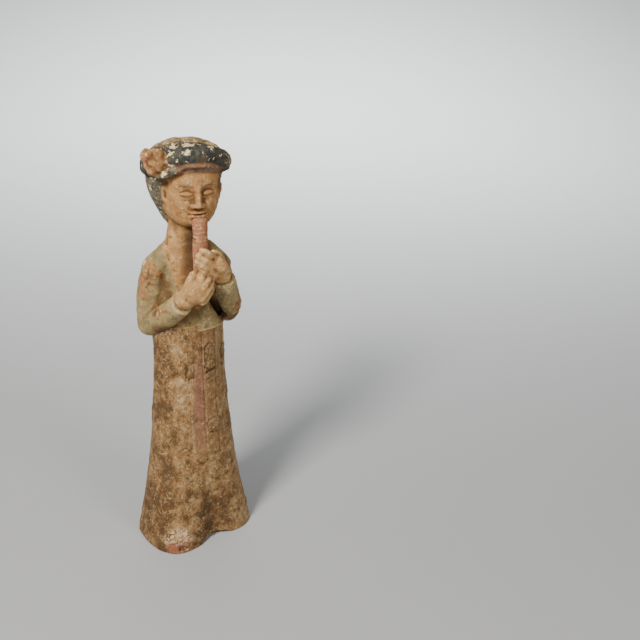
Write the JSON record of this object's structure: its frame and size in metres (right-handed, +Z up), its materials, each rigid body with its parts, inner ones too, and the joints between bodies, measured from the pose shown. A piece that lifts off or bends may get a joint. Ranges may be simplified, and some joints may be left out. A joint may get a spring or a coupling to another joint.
{
  "type": "tomb musician figure",
  "caption": "Standing pottery attendant in a long flared skirt and short jacket, playing an upright pipe held in both hands.",
  "frame": {"origin": "middle of the footprint on the ground, at the flat underside", "axes": "+Z up along the standing figure, -Y towards the front of its skirt, -X towards its right arm"},
  "size_m": [0.073, 0.0614, 0.26],
  "materials": {
    "painted_terracotta": "matt"
  },
  "bodies": {
    "root": {"musician_figure": "painted_terracotta"}
  },
  "joints": []
}
